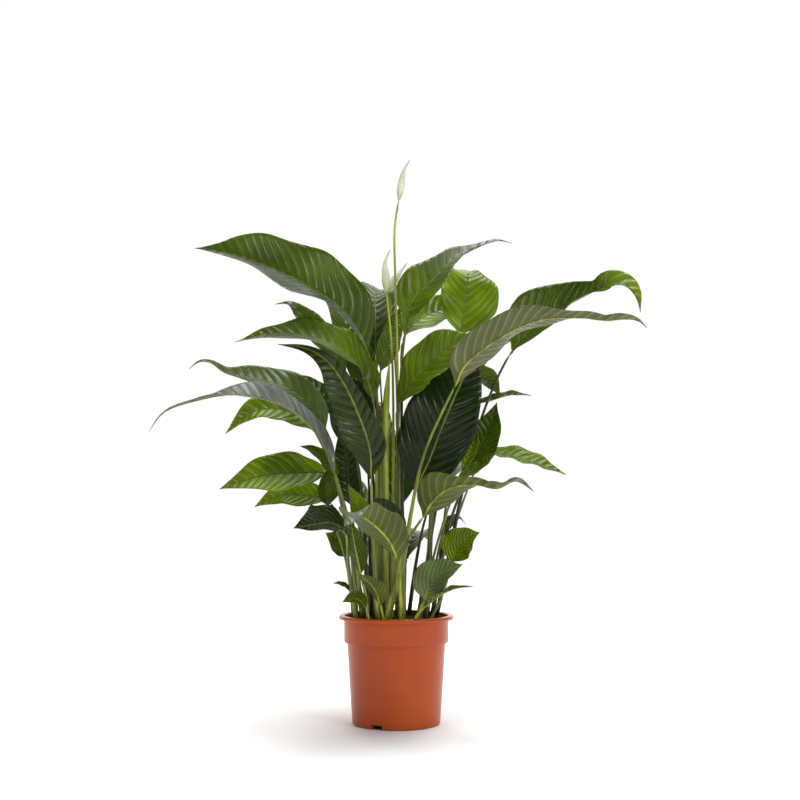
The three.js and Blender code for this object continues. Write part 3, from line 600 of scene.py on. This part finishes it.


# ---- the leaves ----
# Lists and tuples of shares run from the neck of the blade to its drip tip.
# root: where the stalk leaves the soil     stem: way points of the stalk
# rib: way points of the midrib             width: the full width of the blade
# plus, minus: shares of the width for each half
# faces: the ways the upper side looks      fold: how far each half is raised
# tone: how bright a green, partly painted light and shade   grey: silvery grey, mostly painted sheen
# grey_plus: the same grey on the plus half only  stem_tone: how bright the stalk is
LEAVES = [
    dict(
        name="leaf_upper_left", root=(-28, -18), stem=[(-31, -22, 530)],
        rib=[(-54, -25, 679), (-97, -40, 747), (-151, -60, 784), (-209, -75, 812), (-280, -90, 837),
             (-324, -97, 846), (-359, -100, 851)],
        width=134, plus=(0.3, 0.25, 0.45, 0.9, 0.95, 0.6, 0.4),
        minus=(1, 1, 1.05, 1, 1.15, 1.35, 1),
        faces=[(0.1, -0.85, 0.55)],
        fold=30, tone=0.34, grey_plus=0.9,
    ),
    dict(
        name="leaf_upper_left_inner", root=(-34, 12), stem=[(-34, 15, 530)],
        rib=[(-40, 50, 685), (-40, 80, 750), (-42, 125, 800), (-33, 180, 823), (-14, 240, 800)],
        width=85,
        faces=[(0.1, -0.6, 0.8)],
        tone=0.2,
    ),
    dict(
        name="leaf_heart_small", root=(-22, 8), stem=[(-24, 12, 530)],
        rib=[(-29, 24, 643), (-18, 30, 695), (-5, 34, 735), (9, 36, 769)],
        width=52,
        faces=[(0.6, -0.7, 0.2)],
        tone=0.6,
    ),
    dict(
        name="leaf_top_right", root=(3, -8), stem=[(5, -5, 585)],
        rib=[(20, -10, 733), (31, -24, 770), (62, -20, 802), (96, -8, 840), (134, 10, 866),
             (190, 30, 891), (219, 38, 888)],
        width=100, plus=(1, 1.1, 0.95, 0.6, 0.5, 0.6, 0.6),
        minus=(1, 1.1, 0.8, 0.35, 0.35, 0.4, 0.5),
        faces=[(-0.3, -0.9, 0.3), (-0.2, -0.8, 0.5), (0, -0.35, 0.9), (0, -0.3, 0.95)],
        fold=22, tone=(0.75, 0.7, 0.4, 0.15, 0.15), grey=(0, 0, 0.3, 0.8, 0.8),
    ),
    dict(
        name="leaf_behind_heart", root=(14, 16), stem=[(10, 20, 590)],
        rib=[(16, 45, 714), (54, 75, 753), (97, 108, 775), (147, 135, 794)],
        width=85,
        faces=[(-0.2, -0.9, 0.4)],
        tone=1,
    ),
    dict(
        name="leaf_bright_upright", root=(52, 22), stem=[(81, 30, 554)],
        rib=[(122, 60, 717), (128, 62, 753), (134, 70, 794), (138, 90, 835), (139, 150, 857)],
        width=114, plus=(0.9, 0.85, 0.9, 1.05, 1.2),
        minus=(1.05, 1.15, 1.05, 0.7, 0.5),
        faces=[(0.05, -0.95, 0.3)],
        fold=10, tone=1.05,
    ),
    dict(
        name="leaf_arched_centre", root=(6, -34), stem=[(4, -42, 495)],
        rib=[(3, -60, 573), (35, -90, 619), (70, -105, 653), (109, -108, 680), (154, -95, 694)],
        width=105, plus=(0.6, 0.75, 0.95, 1.1, 1),
        minus=(0.6, 0.7, 0.9, 1, 1),
        faces=[(-0.3, -0.8, 0.5)],
        fold=15, tone=0.6,
    ),
    dict(
        name="leaf_right_long", root=(-18, -50), stem=[(10, -66, 285), (47, -90, 476)],
        rib=[(104, -135, 605), (117, -150, 634), (152, -160, 665), (189, -166, 688),
             (230, -170, 707), (268, -174, 715), (325, -180, 714), (356, -180, 710),
             (387, -180, 712), (414, -180, 709), (429, -180, 697)],
        width=122, plus=(1, 1, 0.95, 0.8, 0.68, 0.6, 0.52, 0.48, 0.4, 1.6, 2.2),
        minus=(1, 1, 0.95, 0.8, 0.68, 0.6, 0.52, 0.48, 0.4, 1.6, 2.2),
        faces=[(0.1, 0.45, 0.9), (0.1, 0.35, 0.95), (0, 0, 1)],
        fold=15, tone=0.3, grey=1,
    ),
    dict(
        name="leaf_right_upper", root=(72, 30), stem=[(156, 40, 545)],
        rib=[(219, 55, 684), (252, 60, 719), (288, 55, 748), (319, 45, 769), (352, 25, 785),
             (379, 5, 797), (402, -5, 804), (424, -15, 799), (441, -22, 777), (448, -30, 746)],
        width=108, plus=(1.2, 1.6, 1.4, 1.1, 0.8, 0.35, 0.9, 1.2, 0.9),
        minus=(1, 0.9, 0.8, 0.7, 0.5, 0.3, 1, 0.9, 0.6),
        faces=[(-0.1, -0.75, 0.65), (-0.1, -0.7, 0.7), (0.6, -0.7, 0.4)],
        fold=26, tone=(0.4, 0.35, 0.3, 0.35, 0.9, 0.95), stem_tone=0,
    ),
    dict(
        name="leaf_right_pale", root=(58, 44), stem=[(82, 52, 537)],
        rib=[(112, 72, 630), (145, 80, 639), (177, 90, 630), (200, 95, 603)],
        width=60,
        faces=[(0, 0.5, 0.8)],
        tone=0.4,
    ),
    dict(
        name="leaf_right_narrow", root=(68, 52), stem=[(112, 72, 498)],
        rib=[(146, 85, 582), (180, 80, 593), (217, 65, 602), (256, 55, 600)],
        width=34,
        faces=[(0, -0.4, 0.9)],
        tone=0.25,
    ),
    dict(
        name="leaf_centre_dark", root=(12, -48), stem=[(16, -45, 316)],
        rib=[(35, -55, 418), (60, -70, 476), (84, -82, 538), (109, -82, 596), (132, -70, 644),
             (151, -50, 675)],
        width=146,
        minus=(0.85, 0.8, 0.85, 0.9, 1),
        faces=[(-0.2, -0.95, 0.1)],
        fold=8, tone=0,
    ),
    dict(
        name="leaf_right_upright", root=(64, 18), stem=[(90, 20, 331)],
        rib=[(132, 15, 450), (152, 8, 492), (170, 5, 529), (186, 5, 583)],
        width=74,
        faces=[(-0.4, -0.85, 0.2)],
        tone=0.3,
    ),
    dict(
        name="leaf_strip_young", root=(40, -18), stem=[(76, -36, 333)],
        rib=[(119, -44, 454), (134, -48, 487), (142, -48, 514), (141, -44, 543)],
        width=26,
        faces=[(-0.6, -0.8, 0.1)],
        tone=1.1,
    ),
    dict(
        name="leaf_right_curl", root=(52, 2), stem=[(82, -4, 332)],
        rib=[(113, -16, 438), (138, -24, 453), (160, -30, 467), (175, -34, 489)],
        width=40,
        faces=[(0, -0.5, 0.85)],
        tone=0.5,
    ),
    dict(
        name="leaf_right_low_bright", root=(46, 54), stem=[(101, 70, 330)],
        rib=[(169, 45, 487), (202, 35, 487), (244, 25, 476), (283, 15, 462), (314, 10, 449)],
        width=56,
        faces=[(0.1, -0.5, 0.85)],
        tone=1.1,
    ),
    dict(
        name="leaf_front_right", root=(-22, -66), stem=[(-4, -80, 250), (15, -95, 322)],
        rib=[(48, -125, 376), (63, -150, 402), (91, -180, 424), (131, -205, 430), (169, -222, 423),
             (198, -232, 435), (227, -240, 418)],
        width=90, plus=(1, 1, 1, 0.8, 0.9, 1.3, 1),
        minus=(1, 1, 0.9, 0.6, 0.6, 0.8, 1),
        faces=[(0.2, 0.7, 0.6), (0, -0.3, 0.9)],
        tone=0.3, grey=0.4,
    ),
    dict(
        name="leaf_low_right_oval", root=(60, 6), stem=[(89, 15, 241)],
        rib=[(102, 10, 290), (113, 5, 316), (131, 0, 334), (152, -5, 344)],
        width=66,
        faces=[(-0.3, -0.9, 0.3)],
        tone=1.1,
    ),
    dict(
        name="leaf_low_right_broad", root=(36, -66), stem=[(40, -75, 205)],
        rib=[(50, -85, 228), (60, -100, 257), (84, -112, 278), (115, -120, 292)],
        width=72,
        faces=[(-0.1, -0.8, 0.6)],
        tone=0.55, grey=0.3,
    ),
    dict(
        name="leaf_low_right_thin", root=(24, -78), stem=[(38, -98, 205)],
        rib=[(52, -121, 221), (70, -143, 238), (97, -160, 253), (130, -168, 258)],
        width=26,
        faces=[(0, -0.3, 0.95)],
        tone=0.5,
    ),
    dict(
        name="leaf_right_hook", root=(38, 62), stem=[(82, 90, 292)],
        rib=[(91, 110, 338), (107, 130, 364), (121, 140, 368), (135, 150, 356)],
        width=26,
        faces=[(0, -0.5, 0.9)],
        tone=0.2,
    ),
    dict(
        name="leaf_left_behind", root=(-48, 36), stem=[(-59, 40, 517)],
        rib=[(-98, 70, 647), (-137, 85, 701), (-177, 95, 751), (-206, 100, 781), (-236, 105, 782)],
        width=65,
        faces=[(0.2, -0.6, 0.75)],
        tone=0.35,
    ),
    dict(
        name="leaf_left_middle", root=(-36, -36), stem=[(-36, -45, 459)],
        rib=[(-42, -55, 585), (-58, -66, 629), (-89, -93, 665), (-150, -110, 690),
             (-219, -130, 693), (-280, -145, 677)],
        width=98, plus=(1, 1, 1.15, 1.3, 1.1, 1),
        minus=(1, 1, 1, 0.95, 0.8, 0.6),
        faces=[(0.1, -0.6, 0.8)],
        fold=20, tone=0.42, grey_plus=(0, 0, 0.2, 0.6, 0.8, 0.6),
    ),
    dict(
        name="leaf_front_hanging", root=(-32, -58), stem=[(-42, -88, 353)],
        rib=[(-44, -100, 440), (-46, -112, 492), (-68, -122, 558), (-95, -127, 612),
             (-121, -130, 645), (-154, -130, 665), (-207, -130, 675)],
        width=92, plus=(1, 1, 0.9, 0.8, 0.5, 0.5),
        minus=(1, 1, 0.62, 0.42, 0.4, 0.45, 0.5),
        faces=[(-0.3, -0.85, 0.35)],
        tone=0.09,
    ),
    dict(
        name="leaf_centre_shadow", root=(-52, 12), stem=[(-63, 15, 405)],
        rib=[(-74, 15, 488), (-75, 18, 543), (-84, 25, 594), (-114, 45, 645)],
        width=95,
        faces=[(0, -0.95, 0.3)],
        fold=8, tone=0.04,
    ),
    dict(
        name="leaf_left_inner", root=(-41, 58), stem=[(-64, 52, 330)],
        rib=[(-83, 44, 393), (-91, 42, 440), (-98, 42, 487), (-108, 46, 534)],
        width=54,
        faces=[(0, -1, 0.1)],
        tone=0.1,
    ),
    dict(
        name="leaf_left_arching", root=(-56, -22), stem=[(-101, -35, 405)],
        rib=[(-129, -45, 527), (-152, -52, 572), (-195, -57, 604), (-249, -59, 620),
             (-303, -64, 633), (-331, -70, 650), (-352, -74, 651), (-371, -76, 637)],
        width=84, plus=(1, 1, 1, 1, 0.9, 0.4, 0.3),
        minus=(1, 1, 0.9, 0.9, 0.6, 0.35, 0.3),
        faces=[(0.1, -0.6, 0.8)],
        tone=0.42, grey=0.2,
    ),
    dict(
        name="leaf_left_shadow", root=(-62, 20), stem=[(-85, 20, 405)],
        rib=[(-101, 30, 535), (-128, 40, 586), (-161, 50, 621), (-201, 60, 643)],
        width=50,
        faces=[(0.2, -0.5, 0.8)],
        tone=0.15,
    ),
    dict(
        name="leaf_left_longest", root=(-58, -40), stem=[(-78, -65, 335)],
        rib=[(-110, -80, 454), (-134, -103, 514), (-180, -124, 558), (-233, -134, 580),
             (-286, -134, 587), (-341, -124, 579), (-410, -98, 558), (-440, -80, 525)],
        width=76, plus=(1, 1, 1.1, 1, 0.55, 0.45, 0.6),
        minus=(1, 1, 1, 1.1, 0.6, 0.45, 0.6),
        faces=[(0, -0.5, 0.9), (0, -0.25, 0.97)],
        tone=0.12, grey=1,
    ),
    dict(
        name="leaf_left_bright", root=(-73, 13), stem=[(-94, 24, 369)],
        rib=[(-157, 30, 535), (-207, 30, 570), (-268, 25, 567), (-318, 20, 526)],
        width=62,
        faces=[(-0.2, -0.8, 0.5)],
        tone=1.1,
    ),
    dict(
        name="leaf_left_low", root=(-62, 34), stem=[(-86, 38, 331)],
        rib=[(-128, 38, 449), (-178, 26, 453), (-232, 14, 451), (-277, 6, 440), (-325, -2, 423)],
        width=80, plus=(1, 1, 1.3, 1.2, 1),
        faces=[(0, -0.85, 0.5)],
        tone=0.9,
    ),
    dict(
        name="leaf_left_lowest", root=(-54, 48), stem=[(-82, 45, 294)],
        rib=[(-128, 55, 401), (-172, 60, 411), (-219, 65, 412), (-268, 65, 390)],
        width=60,
        faces=[(0, -0.85, 0.5)],
        tone=1.1,
    ),
    dict(
        name="leaf_left_small", root=(-70, -8), stem=[(-84, -10, 333)],
        rib=[(-110, -15, 441), (-128, -20, 470), (-151, -25, 492), (-176, -28, 501)],
        width=40,
        faces=[(0.3, -0.6, 0.7)],
        tone=0.3,
    ),
    dict(
        name="leaf_left_upright", root=(-77, 2), stem=[(-93, 0, 296)],
        rib=[(-125, 0, 394), (-128, -3, 423), (-127, -5, 460)],
        width=45,
        faces=[(0.5, -0.85, 0.1)],
        tone=0.35,
    ),
    dict(
        name="leaf_front_ribbed", root=(-70, -42), stem=[(-85, -50, 281)],
        rib=[(-90, -85, 347), (-112, -115, 363), (-139, -150, 362), (-174, -175, 356)],
        width=80,
        faces=[(0, -0.75, 0.65)],
        tone=0.04,
    ),
    dict(
        name="leaf_low_left_bright", root=(-52, 62), stem=[(-62, 66, 242)],
        rib=[(-82, 68, 297), (-106, 72, 322), (-134, 74, 341)],
        width=50,
        faces=[(0, -0.9, 0.4)],
        tone=0.75,
    ),
    dict(
        name="leaf_front_bowed", root=(8, -62), stem=[(7, -85, 245)],
        rib=[(3, -120, 298), (-12, -155, 335), (-41, -200, 366), (-70, -250, 383),
             (-82, -310, 362)],
        width=85,
        faces=[(0.3, 0.8, 0.5)],
        tone=0.35, grey=0.6,
    ),
    dict(
        name="leaf_front_shadow", root=(-12, -34), stem=[(-4, -45, 263)],
        rib=[(-4, -58, 320), (-13, -65, 361), (-28, -80, 391), (-51, -90, 406)],
        width=60,
        faces=[(0, -0.9, 0.3)],
        tone=0.1,
    ),
    dict(
        name="leaf_front_upright", root=(-50, -56), stem=[(-53, -60, 229)],
        rib=[(-62, -75, 274), (-72, -85, 322), (-81, -90, 371)],
        width=40,
        faces=[(0.5, 0.8, 0.1)],
        tone=0.3,
    ),
    dict(
        name="leaf_left_streaked", root=(-38, -20), stem=[(-40, -30, 280)],
        rib=[(-47, -36, 345), (-62, -42, 381), (-76, -46, 407), (-87, -48, 432)],
        width=36,
        faces=[(0.2, -0.85, 0.5)],
        tone=0.9,
    ),
    dict(
        name="leaf_front_low", root=(-20, -74), stem=(),
        rib=[(-28, -85, 221), (-38, -115, 251), (-63, -140, 277)],
        width=44,
        faces=[(0.4, 0.8, 0.4)],
        tone=0.4, grey=0.3,
    ),
    dict(
        name="leaf_rim_left", root=(-46, -70), stem=(),
        rib=[(-54, -76, 214), (-70, -84, 230), (-95, -92, 225)],
        width=30,
        faces=[(-0.1, -0.7, 0.7)],
        tone=0.55,
    ),
    dict(
        name="leaf_rim_left_tiny", root=(-70, -26), stem=(),
        rib=[(-83, -35, 241), (-99, -40, 252), (-113, -45, 255)],
        width=16,
        faces=[(0, -0.5, 0.9)],
        tone=0.2,
    ),
    dict(
        name="leaf_back_left", root=(-30, 60), stem=[(-45, 90, 300)],
        rib=[(-60, 120, 380), (-110, 170, 440), (-165, 220, 460), (-235, 270, 430)],
        width=90,
        faces=[(0, 0.2, 1)],
        tone=0.5,
    ),
    dict(
        name="leaf_back_right", root=(22, 64), stem=[(40, 90, 300)],
        rib=[(60, 120, 380), (100, 170, 450), (130, 220, 480), (160, 300, 470)],
        width=95,
        faces=[(0, 0.1, 1)],
        tone=0.35,
    ),
    dict(
        name="leaf_back_centre_right", root=(12, 46), stem=[(15, 80, 320)],
        rib=[(1, 112, 380), (20, 150, 461), (55, 205, 542), (102, 295, 580)],
        width=110,
        faces=[(-0.2, -0.3, 0.9)],
        tone=0.25,
    ),
    dict(
        name="leaf_back_centre_left", root=(-10, 58), stem=[(-15, 80, 320)],
        rib=[(-30, 105, 450), (-55, 150, 540), (-80, 220, 600), (-105, 310, 610)],
        width=105,
        faces=[(0.2, -0.3, 0.9)],
        tone=0.3,
    ),
    dict(
        name="leaf_back_upper_left", root=(-26, 38), stem=[(-45, 70, 450)],
        rib=[(-62, 110, 600), (-90, 150, 725), (-130, 190, 800), (-170, 235, 845)],
        width=90,
        faces=[(0.3, -0.5, 0.8)],
        tone=0.35,
    ),
    dict(
        name="leaf_back_upper_right", root=(40, 48), stem=[(78, 95, 400)],
        rib=[(115, 138, 560), (160, 175, 665), (225, 205, 720), (290, 240, 748)],
        width=76,
        faces=[(-0.2, -0.3, 0.9)],
        tone=0.4,
    ),
    dict(
        name="leaf_back_low_left", root=(-42, 72), stem=[(-45, 90, 240)],
        rib=[(-50, 120, 300), (-75, 160, 340), (-100, 200, 345), (-130, 250, 320)],
        width=70,
        faces=[(0, 0.3, 1)],
        tone=0.5,
    ),
    dict(
        name="leaf_back_low", root=(4, 78), stem=[(8, 95, 230)],
        rib=[(20, 130, 290), (35, 170, 330), (50, 215, 340), (65, 270, 320)],
        width=72,
        faces=[(0, 0.3, 1)],
        tone=0.3,
    ),
]


# ---- pot ----
def arc(centre_r, centre_z, radius, first, last, steps):
    """Points on a small rounding of the pot's profile; angles in degrees."""
    points = []
    for k in range(steps + 1):
        turn = math.radians(first + (last - first) * k / steps)
        points.append((centre_r + radius * math.cos(turn), centre_z + radius * math.sin(turn)))
    return points


def pot_profile():
    """Radius and height round the wall: out under the floor, up the outside and down the inside."""
    lip_z = POT_HEIGHT - 3.4
    inner_collar = COLLAR_RADIUS - WALL
    return [
        (0, FLOOR_TOP - WALL),
        (BASE_RADIUS - FOOT_WIDTH, FLOOR_TOP - WALL),
        *arc(BASE_RADIUS - 8.5, 1.2, 1.2, 180, 270, 3),
        *arc(BASE_RADIUS - 3, 3, 3, 270, 350, 5),
        (BASE_RADIUS + TAPER_AT_SLOT, SLOT_TOP),
        (BASE_RADIUS + 5, 70),
        (BODY_TOP_RADIUS - 0.3, STEP_HEIGHT - 2),
        *arc(BODY_TOP_RADIUS + 0.5, STEP_HEIGHT - 1.6, 0.8, 180, 90, 3),
        *arc(COLLAR_RADIUS - 1.4, STEP_HEIGHT + 0.7, 1.4, 270, 360, 4),
        (COLLAR_RADIUS + 0.5, POT_HEIGHT - 9),
        *arc(COLLAR_RADIUS + 1.4, POT_HEIGHT - 7.6, 0.9, 180, 90, 3),
        *arc(LIP_RADIUS - 2.2, POT_HEIGHT - 5.2, 2.2, 300, 360, 3),
        *arc(LIP_RADIUS - 3.2, lip_z, 3.2, 0, 80, 6),
        *arc(COLLAR_RADIUS + 2.2, lip_z, 3.2, 100, 180, 6),
        (inner_collar, POT_HEIGHT - 9),
        (inner_collar, STEP_HEIGHT + 3),
        (BODY_TOP_RADIUS - WALL, STEP_HEIGHT + 1),
        (BASE_RADIUS + TAPER_AT_SLOT - WALL, SLOT_TOP),
        (BASE_RADIUS - WALL, FLOOR_TOP),
        (BASE_RADIUS - FOOT_WIDTH, FLOOR_TOP),
        (0, FLOOR_TOP),
    ]


def turn_profile(bm, profile, sides):
    """Spins a profile of radius and height round the pot's axis."""
    verts = [bm.verts.new(Vector((r, 0, z)) * MM) for r, z in profile]
    edges = [bm.edges.new(pair) for pair in zip(verts, verts[1:])]
    bmesh.ops.spin(bm, geom=verts + edges, cent=(0, 0, 0), axis=(0, 0, 1), angle=2 * math.pi,
                   steps=sides, use_merge=True)
    bmesh.ops.remove_doubles(bm, verts=bm.verts, dist=1e-6)
    bmesh.ops.recalc_face_normals(bm, faces=bm.faces)


def slot_direction(index):
    """The way from the pot's axis to the middle of a drain slot."""
    turn = math.radians(SLOT_ANGLE + index * 360 / SLOT_COUNT)
    return Vector((math.cos(turn), math.sin(turn), 0))


def cut_slots(bm):
    """Opens the drain slots through the foot ring and the wall above, and closes the cut edges."""
    reach = math.cos(math.radians(SLOT_STEPS * 180 / POT_SIDES))
    for index in range(SLOT_COUNT):
        towards = slot_direction(index)
        doomed = []
        for face in bm.faces:
            middle = face.calc_center_median()
            flat = Vector((middle.x, middle.y, 0))
            low = max(v.co.z for v in face.verts) <= (SLOT_TOP + 0.01) * MM
            outer = flat.length > (BASE_RADIUS - FOOT_WIDTH) * MM
            if low and outer and flat.normalized().dot(towards) > reach:
                doomed.append(face)
        bmesh.ops.delete(bm, geom=doomed, context="FACES")
        rims = [e for e in bm.edges if e.is_boundary]
        bmesh.ops.bridge_loops(bm, edges=rims)


def make_pot(material):
    """The pot, turned so that a slot's middle comes at SLOT_ANGLE."""
    bm = bmesh.new()
    turn_profile(bm, pot_profile(), POT_SIDES)
    first = math.radians(SLOT_ANGLE - SLOT_STEPS * 180 / POT_SIDES)
    bmesh.ops.rotate(bm, verts=bm.verts, cent=(0, 0, 0), matrix=Matrix.Rotation(first, 3, "Z"))
    cut_slots(bm)
    for face in bm.faces:
        face.smooth = True
    for edge in bm.edges:
        edge.smooth = edge.calc_face_angle(0) < math.radians(SHARP_EDGE)
    piece = add_piece(bm, "pot_moulded", [material])
    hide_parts("pot")


# ---- soil ----
def soil_height(x, y):
    """Height of the uneven soil, with broad and small lumps."""
    broad = noise.noise(Vector((x * 0.09, y * 0.09, 3.1))) * 1.6
    small = noise.noise(Vector((x * 0.3, y * 0.3, 7.7))) * 1.1
    return SOIL_TOP + SOIL_LIFT + (broad + small)


def make_soil(material):
    """The soil, which fills the pot inside its walls."""
    limit = COLLAR_RADIUS - WALL - 0.3

    def place(u, v):
        a, b = 2 * u - 1, 2 * v - 1
        radius = max(abs(a), abs(b))
        spread = math.hypot(a, b) or 1.0
        x, y = limit * radius * a / spread, limit * radius * b / spread
        return (x, y, soil_height(x, y) if radius < 0.999 else SOIL_TOP - 1)

    bm = bmesh.new()
    skin(bm, SOIL_GRID, SOIL_GRID, place)
    rim = [e for e in bm.edges if e.is_boundary]
    sides = [
        (limit, STEP_HEIGHT + 4),
        (BODY_TOP_RADIUS - WALL - 0.4, STEP_HEIGHT + 1.6),
        (BASE_RADIUS - WALL - 0.4, FLOOR_TOP + 0.3),
    ]
    for radius, z in sides:
        moved = bmesh.ops.extrude_edge_only(bm, edges=rim)["geom"]
        for vert in (g for g in moved if isinstance(g, bmesh.types.BMVert)):
            flat = vert.co.xy.normalized() * radius * MM
            vert.co = (flat.x, flat.y, z * MM)
        rim = [g for g in moved if isinstance(g, bmesh.types.BMEdge)]
    bmesh.ops.holes_fill(bm, edges=rim)
    for face in bm.faces:
        face.smooth = True
    piece = add_piece(bm, "soil_filling", [material])
    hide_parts("soil")


def make_crumbs(material):
    """Loose crumbs of bark and peat lying on the soil."""
    chance = random.Random(5)
    bm = bmesh.new()
    for _ in range(CRUMB_COUNT):
        turn, far = chance.uniform(0, 6.283), CRUMB_REACH * chance.random() ** 0.4
        x, y = far * math.cos(turn), far * math.sin(turn)
        radius = chance.uniform(0.9, 2.6) * MM
        made = bmesh.ops.create_icosphere(bm, subdivisions=1, radius=radius)["verts"]
        stretch = [chance.uniform(*span) for span in ((0.7, 1.7), (0.6, 1.2), (0.5, 0.9))]
        bmesh.ops.scale(bm, verts=made, vec=Vector(stretch))
        height = soil_height(x, y) + chance.uniform(0, 2.2)
        bmesh.ops.translate(bm, verts=made, vec=Vector((x, y, height)) * MM)
    piece = add_piece(bm, "soil_crumbs", [material])


# ---- flower stalks ----
FLOWERS = [
    dict(name="bud",
         scape=[(4, -22, 179), (1, -28, 298), (2, -36, 641), (-2, -44, 808), (-3, -40, 902),
                (5, -38, 957)],
         spathe=[(4.6, -38, 953), (9, -37, 984), (14, -36, 1009), (25, -34, 1029)],
         radii=[1.6, 5.0, 6.4, 6.0, 4.2, 2.4, 1.2, 0.3]),
    dict(name="flower_left",
         scape=[(-8, 22, 179), (-6, 6, 599), (-10, -2, 702), (-19, 0, 794)],
         spathe=[(-19, 0, 788), (-20, 2, 815), (-21, 4, 845), (-12, 6, 869)],
         radii=[1.6, 6.0, 7.6, 6.6, 4.4, 2.4, 1.2, 0.3]),
    dict(name="flower_right",
         scape=[(0, 36, 179), (1, 44, 601), (-6, 46, 705), (-14, 50, 801)],
         spathe=[(-14, 50, 795), (-8, 52, 815), (5, 55, 833), (20, 60, 854)],
         radii=[1.6, 6.0, 8.0, 7.2, 4.8, 2.4, 1.2, 0.3]),
]


def make_flower(flower, stalk, petal):
    """A bare stalk and the white hood rolled round its end."""
    rail = Rail(flower["scape"], [(0, -1, 0)])
    bm = bmesh.new()
    tube(bm, rail, lambda v: SCAPE_RADIUS - SCAPE_TAPER * v, 0.0, 1.0, 12, 40, 0)
    store_trait(bm, "tone", SCAPE_TONE)
    piece = add_piece(bm, flower["name"] + "_scape_grown", [stalk])
    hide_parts(flower["name"] + "_scape")
    hood = Rail(flower["spathe"], [(0, -1, 0)])

    def place(u, v):
        point, _, across, out = hood.at(v)
        turn = 2 * math.pi * SPATHE_TURNS * u + SPATHE_START
        size = graded(flower["radii"], v) * (1.12 - 0.18 * u)
        return point + (across * math.cos(turn) - out * math.sin(turn)) * size

    bm = bmesh.new()
    skin(bm, *SPATHE_GRID, place)
    bmesh.ops.triangulate(bm, faces=bm.faces[:], quad_method="FIXED")
    bmesh.ops.solidify(bm, geom=bm.faces[:], thickness=SPATHE_THICKNESS * MM)
    piece = add_piece(bm, flower["name"] + "_spathe_grown", [petal])
    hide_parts(flower["name"] + "_spathe")


SPEAR_PATH = [(-16, -20, 179), (-20, -30, 405), (-21, -34, 496), (-18, -33, 587), (-12, -30, 660)]
SPEAR_RADII = [4.6, 4.3, 4.4, 5.2, 6.8, 7.4, 7.2, 5.4, 0.4]


def make_spear(stalk):
    """The young leaf, still rolled up."""
    rail = Rail(SPEAR_PATH, [(0, -1, 0)])
    bm = bmesh.new()
    tube(bm, rail, lambda v: graded(SPEAR_RADII, v), 0.0, 1.0, 20, 60, 0)
    store_trait(bm, "tone", SPEAR_TONE)
    piece = add_piece(bm, "leaf_spear_grown", [stalk])
    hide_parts("leaf_spear_rolled")


# ---- studio ----
def add_light(name, place, target, size, power):
    """A soft panel that lights the plant and isn't seen itself."""
    data = bpy.data.lights.new(name, "AREA")
    data.shape = "RECTANGLE"
    data.size, data.size_y = size
    data.energy = power
    lamp = bpy.data.objects.new(name, data)
    lamp.location = place
    lamp.rotation_euler = (Vector(target) - Vector(place)).to_track_quat("-Z", "Y").to_euler()
    lamp.visible_camera = False
    bpy.context.scene.collection.objects.link(lamp)


def add_sun(name, tilt, spread, power):
    """Even light from above; tilt in degrees about x and y."""
    data = bpy.data.lights.new(name, "SUN")
    data.angle = math.radians(spread)
    data.energy = power
    lamp = bpy.data.objects.new(name, data)
    lamp.rotation_euler = (math.radians(tilt[0]), math.radians(tilt[1]), 0)
    bpy.context.scene.collection.objects.link(lamp)


def make_studio():
    """Pale floor, even light from above, soft panels, and a white surround for the camera."""
    bm = bmesh.new()
    bmesh.ops.create_grid(bm, x_segments=1, y_segments=1, size=FLOOR_SIZE)
    mesh = bpy.data.meshes.new("studio_floor")
    bm.to_mesh(mesh)
    bm.free()
    mesh.materials.append(floor_material())
    floor = bpy.data.objects.new("studio_floor", mesh)
    bpy.context.scene.collection.objects.link(floor)
    bpy.context.scene.view_settings.view_transform = "Standard"
    world = bpy.data.worlds.new("studio")
    world.use_nodes = True
    nodes, links = world.node_tree.nodes, world.node_tree.links
    seen = nodes["Background"]
    seen.inputs["Color"].default_value = (1.0, 1.0, 1.0, 1.0)
    fill = nodes.new("ShaderNodeBackground")
    fill.inputs["Color"].default_value = (1.0, 1.0, 1.0, 1.0)
    fill.inputs["Strength"].default_value = WORLD_FILL
    path = nodes.new("ShaderNodeLightPath")
    choose = nodes.new("ShaderNodeMixShader")
    links.new(path.outputs["Is Camera Ray"], choose.inputs[0])
    links.new(fill.outputs[0], choose.inputs[1])
    links.new(seen.outputs[0], choose.inputs[2])
    links.new(choose.outputs[0], nodes["World Output"].inputs["Surface"])
    bpy.context.scene.world = world
    add_sun("ceiling", SUN_TILT, SUN_SPREAD, SUN_POWER)
    for softbox in SOFTBOXES:
        add_light(**softbox)


def make_camera():
    data = bpy.data.cameras.new("camera")
    data.lens = CAMERA_LENS
    data.sensor_width = CAMERA_SENSOR
    camera = bpy.data.objects.new("camera", data)
    camera.location = CAMERA_PLACE
    camera.rotation_euler = (math.radians(CAMERA_PITCH), 0, 0)
    bpy.context.scene.collection.objects.link(camera)
    bpy.context.scene.camera = camera


make_camera()
make_studio()
stalk = stalk_material()
blade = [leaf_upper(), leaf_under(), stalk]
petal = spathe_material()
earth = soil_material()
make_pot(pot_material())
make_soil(earth)
make_crumbs(earth)
for number, leaf in enumerate(LEAVES):
    make_leaf(leaf, number, blade)
make_spear(stalk)
for flower in FLOWERS:
    make_flower(flower, stalk, petal)
